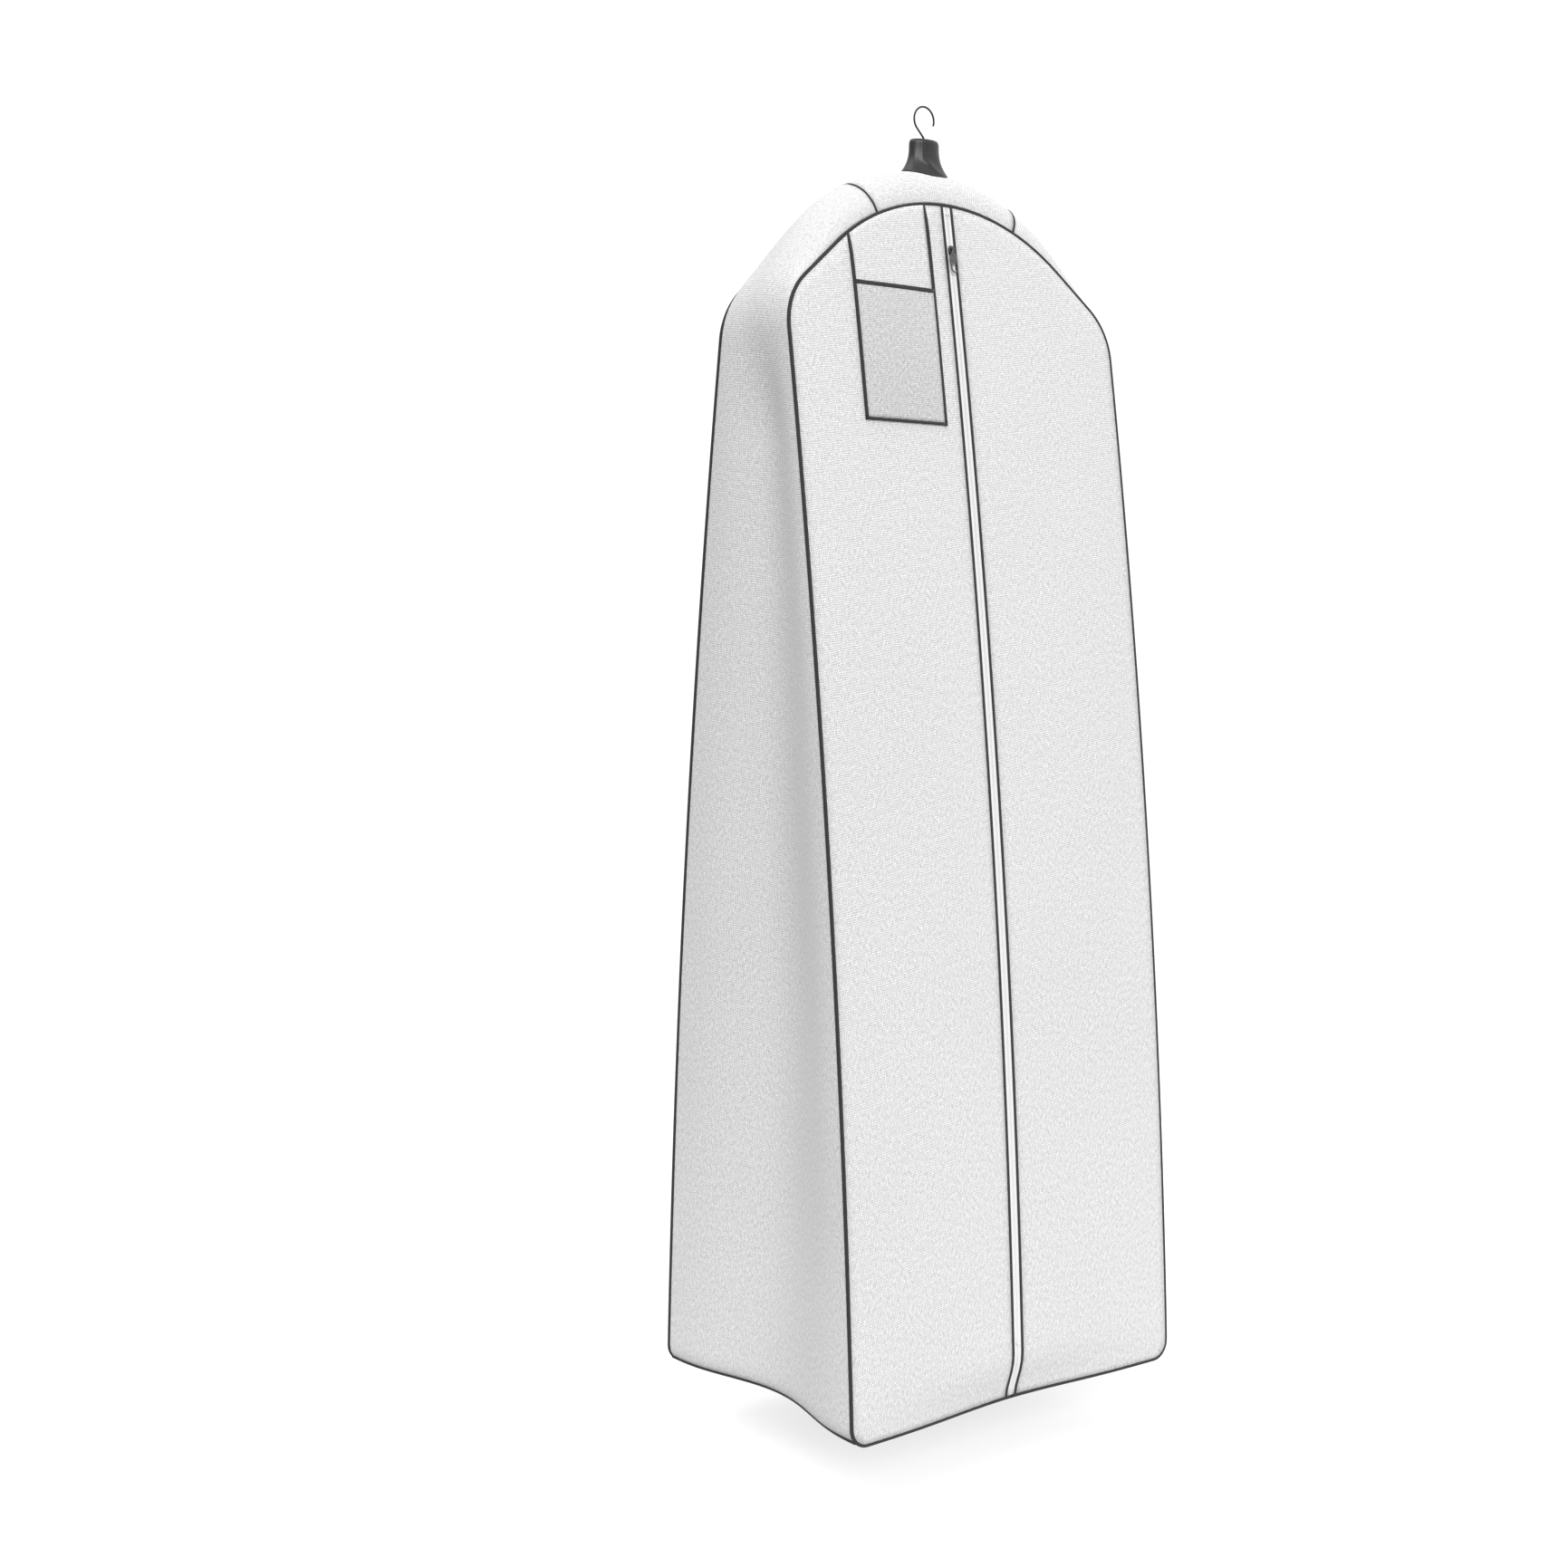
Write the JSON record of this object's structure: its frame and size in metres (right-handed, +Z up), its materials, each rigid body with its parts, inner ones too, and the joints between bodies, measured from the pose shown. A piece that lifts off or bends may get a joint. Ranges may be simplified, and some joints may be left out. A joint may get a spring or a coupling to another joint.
{
  "type": "garment bag",
  "caption": "Tall zipped gown bag with a tapered gusset, black bound seams, a document pocket and a flared collar, hung from its hanger's swivelling wire hook.",
  "frame": {"origin": "inner crest of the hook's loop, where the rail carries it", "axes": "+Z up, +X to the right when facing the zip, -Y out of the front panel"},
  "size_m": [0.66, 0.4718, 1.987],
  "materials": {
    "cloth": "matte woven, fine dotted twill",
    "binding": "matte ribbed tape",
    "window_mesh": "fine mesh",
    "collar_vinyl": "satin coated vinyl",
    "hook_steel": "darkened drawn wire",
    "ferrule_brass": "turned",
    "hanger_wood": "lacquered beech",
    "zip_tape": "matte knitted tape",
    "zip_coil": "moulded coil",
    "zip_metal": "dull nickel plate"
  },
  "bodies": {
    "hook": {"hook_wire": "hook_steel", "hook_washer": "hook_steel"},
    "bag": {"hook_ferrule": "ferrule_brass", "hanger_body": "hanger_wood", "collar": "collar_vinyl", "gusset_top": "cloth", "gusset_left": "cloth", "gusset_right": "cloth", "gusset_binding_left": "binding", "gusset_binding_right": "binding", "front_panel_left": "cloth", "front_panel_right": "cloth", "back_panel": "cloth", "bottom_panel": "cloth", "piping_front": "binding", "piping_back": "binding", "bottom_binding_left": "binding", "bottom_binding_right": "binding", "pocket_backing": "cloth", "pocket_window": "window_mesh", "pocket_binding_top": "binding", "pocket_binding_bottom": "binding", "pocket_binding_left": "binding", "pocket_binding_right": "binding", "zip_binding_left": "binding", "zip_binding_right": "binding", "zip_tape_left": "zip_tape", "zip_tape_right": "zip_tape", "zip_coil_left": "zip_coil", "zip_coil_right": "zip_coil", "zip_top_stop": "zip_coil", "zip_bottom_stop": "zip_coil"},
    "slider": {"zip_slider": "zip_metal"},
    "puller": {"pull_tab": "zip_metal"}
  },
  "joints": [
    {"name": "hook_swivel", "type": "hinge", "parent": "hook", "child": "bag", "pos_m": [0, 0, -0.103], "axis": [0, 0, 1], "continuous": true},
    {"name": "zip_travel", "type": "hinge", "parent": "bag", "child": "slider", "pos_m": [0, 14.85125, -2.5698], "axis": [1, 0, 0], "range_deg": [-0.18, 6.28]},
    {"name": "puller_swing", "type": "hinge", "parent": "slider", "child": "puller", "pos_m": [0, -0.06832, -0.22423], "axis": [-1, 0, 0], "range_deg": [0, 170]}
  ]
}
